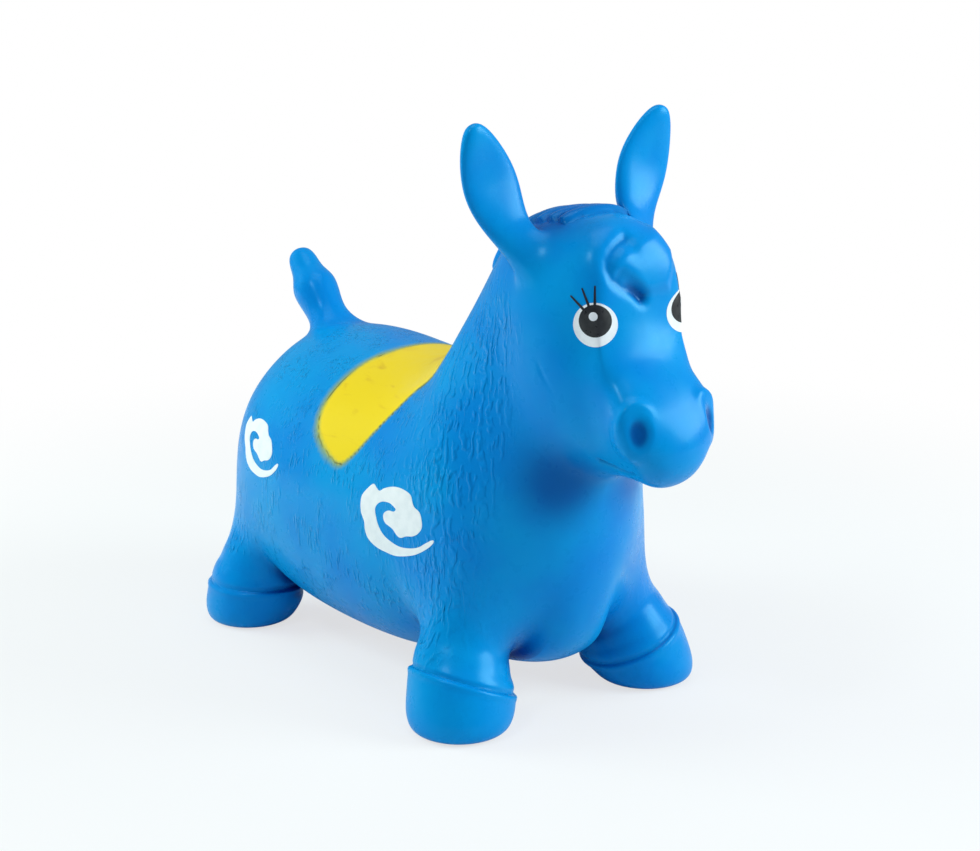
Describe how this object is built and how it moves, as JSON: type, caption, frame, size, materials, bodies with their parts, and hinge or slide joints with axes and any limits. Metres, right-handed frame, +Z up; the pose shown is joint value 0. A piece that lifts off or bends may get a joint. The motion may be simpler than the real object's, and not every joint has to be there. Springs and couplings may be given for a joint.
{
  "type": "bouncy ride on animal",
  "caption": "Hollow inflatable hopping horse for a small child: rounded body on stub feet, raised head whose ears are the handles, sprayed saddle, printed eyes and scrolls, air valve.",
  "frame": {"origin": "on the floor under the middle of the horse's length and width", "axes": "+X from tail to nose, +Y to the horse's left, +Z up"},
  "size_m": [0.5722, 0.297, 0.5],
  "materials": {
    "skin_vinyl": "semi-gloss azure vinyl, lightly mottled",
    "saddle_yellow": "sprayed yellow vinyl paint with a soft edge",
    "print_pale": "pale printed ink",
    "eye_white": "white printed ink",
    "eye_black": "black printed ink",
    "valve_vinyl": "plain blue vinyl"
  },
  "bodies": {
    "root": {"torso_skin": "skin_vinyl", "neck_skin": "skin_vinyl", "head_skin": "skin_vinyl", "saddle_paint": "saddle_yellow", "flank_print_left": "print_pale", "flank_print_right": "print_pale", "haunch_print_left": "print_pale", "haunch_print_right": "print_pale", "eye_white_left": "eye_white", "pupil_left": "eye_black", "glint_left": "eye_white", "lash_1_left": "eye_black", "lash_2_left": "eye_black", "lash_3_left": "eye_black", "eye_white_right": "eye_white", "pupil_right": "eye_black", "glint_right": "eye_white", "lash_1_right": "eye_black", "lash_2_right": "eye_black", "lash_3_right": "eye_black", "valve_seat": "valve_vinyl"},
    "leg_front_left_body": {"leg_front_left": "skin_vinyl"},
    "leg_front_right_body": {"leg_front_right": "skin_vinyl"},
    "leg_rear_left_body": {"leg_rear_left": "skin_vinyl"},
    "leg_rear_right_body": {"leg_rear_right": "skin_vinyl"},
    "ear_left_body": {"ear_left": "skin_vinyl"},
    "ear_right_body": {"ear_right": "skin_vinyl"},
    "tail_body": {"tail": "skin_vinyl"},
    "valve_plug_body": {"valve_plug": "valve_vinyl"}
  },
  "joints": [
    {"name": "leg_front_left_splay", "type": "hinge", "parent": "root", "child": "leg_front_left_body", "pos_m": [0.124, 0.099, 0.042], "axis": [1, 0, 0], "range_deg": [-4, 4], "stiffness_Nm_per_rad": 45},
    {"name": "leg_front_right_splay", "type": "hinge", "parent": "root", "child": "leg_front_right_body", "pos_m": [0.124, -0.099, 0.042], "axis": [-1, 0, 0], "range_deg": [-4, 4], "stiffness_Nm_per_rad": 45},
    {"name": "leg_rear_left_splay", "type": "hinge", "parent": "root", "child": "leg_rear_left_body", "pos_m": [-0.203, 0.108, 0.042], "axis": [1, 0, 0], "range_deg": [-4, 4], "stiffness_Nm_per_rad": 45},
    {"name": "leg_rear_right_splay", "type": "hinge", "parent": "root", "child": "leg_rear_right_body", "pos_m": [-0.203, -0.108, 0.042], "axis": [-1, 0, 0], "range_deg": [-4, 4], "stiffness_Nm_per_rad": 45},
    {"name": "ear_left_flex", "type": "hinge", "parent": "root", "child": "ear_left_body", "pos_m": [0.14253, 0.06092, 0.41237], "axis": [0.0224, 0.9333, -0.3583], "range_deg": [-12, 12], "stiffness_Nm_per_rad": 1},
    {"name": "ear_right_flex", "type": "hinge", "parent": "root", "child": "ear_right_body", "pos_m": [0.14253, -0.06092, 0.41237], "axis": [-0.0224, 0.9333, 0.3583], "range_deg": [-12, 12], "stiffness_Nm_per_rad": 1},
    {"name": "tail_flex", "type": "hinge", "parent": "root", "child": "tail_body", "pos_m": [-0.22607, 0, 0.26425], "axis": [0, 1, 0], "range_deg": [-15, 15], "stiffness_Nm_per_rad": 0.8},
    {"name": "valve_plug_pull", "type": "slide", "parent": "root", "child": "valve_plug_body", "axis": [-1, 0, 0], "range_m": [0, 0.025]}
  ]
}
